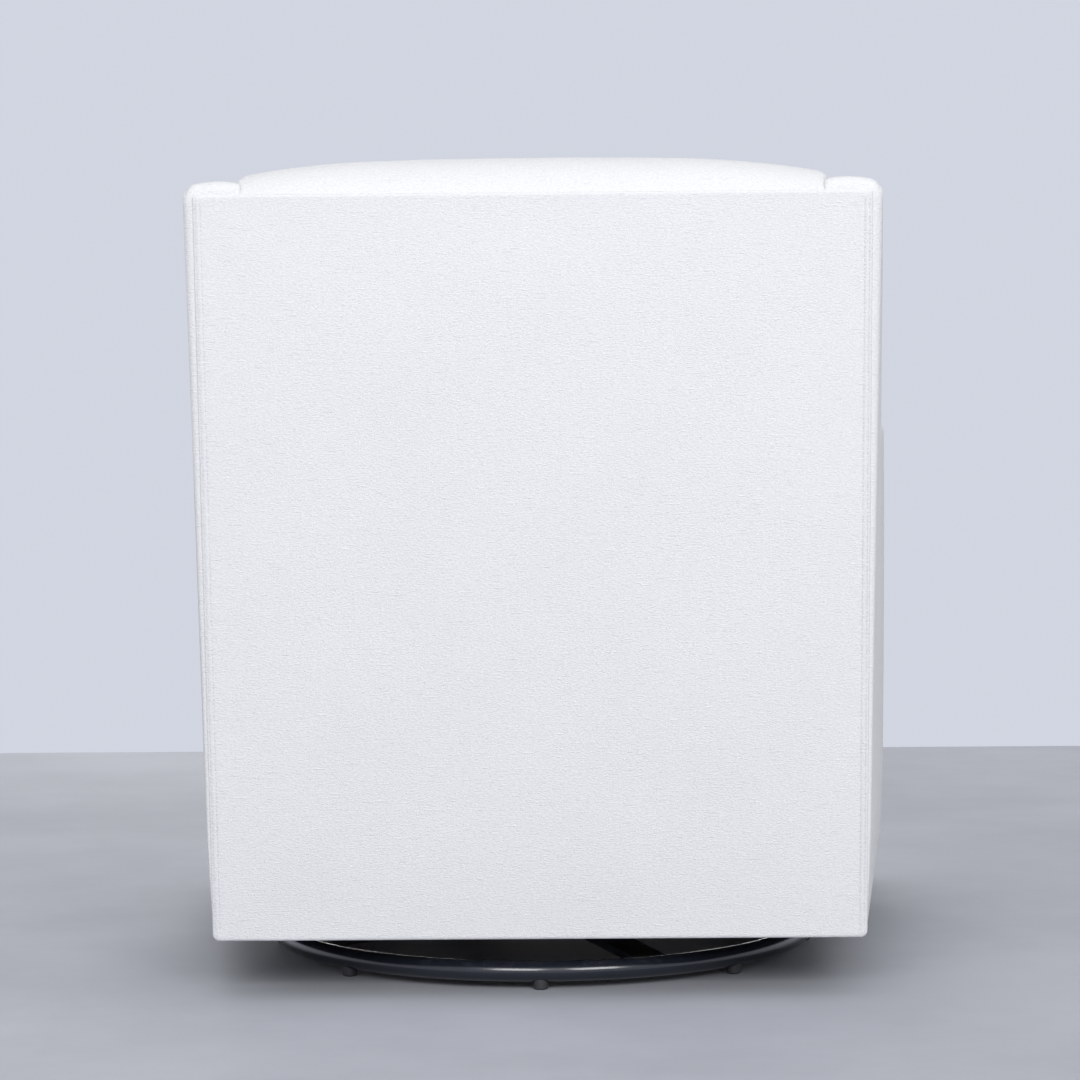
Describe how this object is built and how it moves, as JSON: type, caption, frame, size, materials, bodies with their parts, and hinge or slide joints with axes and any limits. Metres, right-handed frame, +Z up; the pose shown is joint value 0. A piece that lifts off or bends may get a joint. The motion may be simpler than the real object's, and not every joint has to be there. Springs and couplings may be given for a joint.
{
  "type": "swivel glider chair",
  "caption": "Upholstered swivel glider chair with slim wings, padded seat and back on a black tube ring base; the seat swivels and glides on pendulum links.",
  "frame": {"origin": "on the floor at the swivel axis, which is the bottom centre of the chair's box", "axes": "+Z up, the seat faces -Y, the sitter's left is +X"},
  "size_m": [0.8388, 0.8874, 0.876],
  "materials": {
    "white_fabric": "matte",
    "black_metal": "gloss",
    "steel": "satin",
    "dark_steel": "satin",
    "wood": "matte",
    "plywood": "matte",
    "hardboard": "matte",
    "rubber": "matte",
    "nylon": "satin",
    "acetal": "satin",
    "webbing": "matte",
    "dust_cloth": "matte",
    "wadding": "matte"
  },
  "bodies": {
    "base": {"base_ring": "black_metal", "base_arms": "black_metal", "hub_plate": "black_metal", "floor_glides": "nylon", "bearing_lower_race": "steel", "thrust_ring": "acetal", "hub_bolts": "steel"},
    "swivel": {"bearing_upper_race": "steel", "race_bolts": "steel", "king_pin": "steel", "swivel_plate": "dark_steel", "stand_left": "dark_steel", "stand_right": "dark_steel", "upper_pivot_pins": "steel", "glide_stops": "rubber"},
    "link_front_left": {"link_front_left": "dark_steel", "link_bearings_front_left": "steel"},
    "link_front_right": {"link_front_right": "dark_steel", "link_bearings_front_right": "steel"},
    "link_rear_left": {"link_rear_left": "dark_steel", "link_bearings_rear_left": "steel"},
    "link_rear_right": {"link_rear_right": "dark_steel", "link_bearings_rear_right": "steel"},
    "seat": {"inside_back": "white_fabric", "outside_back": "white_fabric", "side_cover_left": "white_fabric", "side_cover_right": "white_fabric", "seat_cushion": "white_fabric", "front_border": "white_fabric", "hangers_left": "dark_steel", "hangers_right": "dark_steel", "carriage_rail_left": "dark_steel", "carriage_rail_right": "dark_steel", "carriage_ties": "dark_steel", "lower_pivot_pins": "steel", "carriage_bolts": "steel", "arm_bolts": "steel", "seat_bearers": "wood", "front_rail": "wood", "rear_rail": "wood", "side_rail_left": "wood", "side_rail_right": "wood", "corner_blocks": "wood", "back_post_left": "wood", "back_post_right": "wood", "back_top_rail": "wood", "back_cross_rails": "wood", "arm_blocks_left": "wood", "arm_blocks_right": "wood", "arm_inner_panel_left": "plywood", "arm_inner_panel_right": "plywood", "arm_outer_panel_left": "plywood", "arm_outer_panel_right": "plywood", "back_board": "hardboard", "seat_webbing": "webbing", "back_webbing": "webbing", "dust_cover": "dust_cloth", "deck_pad": "wadding"}
  },
  "joints": [
    {"name": "swivel", "type": "hinge", "parent": "base", "child": "swivel", "pos_m": [0, 0, 0.05], "axis": [0, 0, 1], "continuous": true},
    {"name": "link_front_left_swing", "type": "hinge", "parent": "swivel", "child": "link_front_left", "pos_m": [0.14, -0.1, 0.198], "axis": [1, 0, 0], "range_deg": [-25, 25]},
    {"name": "link_front_right_swing", "type": "hinge", "parent": "swivel", "child": "link_front_right", "pos_m": [-0.14, -0.1, 0.198], "axis": [1, 0, 0], "range_deg": [-25, 25]},
    {"name": "link_rear_left_swing", "type": "hinge", "parent": "swivel", "child": "link_rear_left", "pos_m": [0.14, 0.1, 0.198], "axis": [1, 0, 0], "range_deg": [-25, 25]},
    {"name": "link_rear_right_swing", "type": "hinge", "parent": "swivel", "child": "link_rear_right", "pos_m": [-0.14, 0.1, 0.198], "axis": [1, 0, 0], "range_deg": [-25, 25]},
    {"name": "glide", "type": "hinge", "parent": "link_rear_left", "child": "seat", "pos_m": [0.14, 0.1, 0.08], "axis": [1, 0, 0], "range_deg": [-25, 25]}
  ],
  "couplings": [
    {"joint": "link_front_left_swing", "follows": "glide", "ratio": -1},
    {"joint": "link_front_right_swing", "follows": "glide", "ratio": -1},
    {"joint": "link_rear_left_swing", "follows": "glide", "ratio": -1},
    {"joint": "link_rear_right_swing", "follows": "glide", "ratio": -1}
  ]
}
